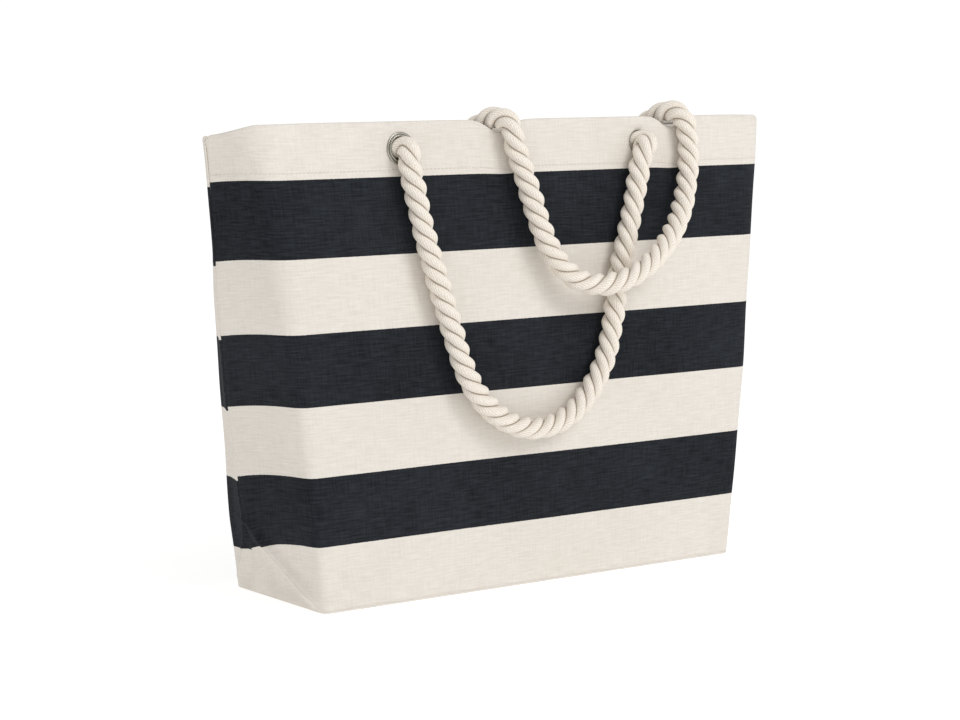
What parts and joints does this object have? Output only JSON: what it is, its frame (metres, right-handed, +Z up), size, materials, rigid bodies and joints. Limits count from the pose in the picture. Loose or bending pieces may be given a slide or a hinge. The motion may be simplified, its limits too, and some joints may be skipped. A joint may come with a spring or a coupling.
{
  "type": "beach bag",
  "caption": "Open canvas beach bag with broad dark stripes, flat base, metal eyelets and two twisted cotton rope handles hanging over the front.",
  "frame": {"origin": "centre of the flat base, at its underside", "axes": "+Z up, +X along the width with the front faced, +Y to the back"},
  "size_m": [0.5464, 0.1577, 0.389],
  "materials": {
    "striped_canvas": "matte",
    "plain_canvas": "matte",
    "eyelet_metal": "polished",
    "rope": "matte",
    "whipping_thread": "matte"
  },
  "bodies": {
    "bag": {"front_panel": "striped_canvas", "back_panel": "striped_canvas", "base_panel": "striped_canvas", "front_hem": "plain_canvas", "back_hem": "plain_canvas", "left_side_allowance": "plain_canvas", "right_side_allowance": "plain_canvas", "front_base_allowance": "plain_canvas", "back_base_allowance": "plain_canvas", "front_left_eyelet": "eyelet_metal", "front_left_washer": "eyelet_metal", "front_left_knot": "rope", "front_left_whipping": "whipping_thread", "front_right_eyelet": "eyelet_metal", "front_right_washer": "eyelet_metal", "front_right_knot": "rope", "front_right_whipping": "whipping_thread", "back_left_eyelet": "eyelet_metal", "back_left_washer": "eyelet_metal", "back_left_knot": "rope", "back_left_whipping": "whipping_thread", "back_right_eyelet": "eyelet_metal", "back_right_washer": "eyelet_metal", "back_right_knot": "rope", "back_right_whipping": "whipping_thread", "front_handle_left_stub": "rope", "front_handle_right_stub": "rope", "back_handle_left_riser": "rope", "back_handle_right_riser": "rope"},
    "front_handle": {"front_handle_loop": "rope"},
    "back_handle_bridge": {"back_handle_left_bridge": "rope", "back_handle_right_bridge": "rope"},
    "back_handle": {"back_handle_loop": "rope"}
  },
  "joints": [
    {"name": "back_handle_lift", "type": "hinge", "parent": "bag", "child": "back_handle_bridge", "pos_m": [0, 0.05, 0.38], "axis": [-1, 0, 0], "range_deg": [0, 90]},
    {"name": "back_handle_unbend", "type": "hinge", "parent": "back_handle_bridge", "child": "back_handle", "pos_m": [0, -0.049, 0.38], "axis": [-1, 0, 0], "range_deg": [0, 90]},
    {"name": "front_handle_swing", "type": "hinge", "parent": "bag", "child": "front_handle", "pos_m": [0, -0.05904, 0.34603], "axis": [-1, 0, 0], "range_deg": [0, 180]}
  ],
  "couplings": [
    {"joint": "back_handle_unbend", "follows": "back_handle_lift", "ratio": 1},
    {"joint": "front_handle_swing", "follows": "back_handle_lift", "ratio": 2}
  ]
}
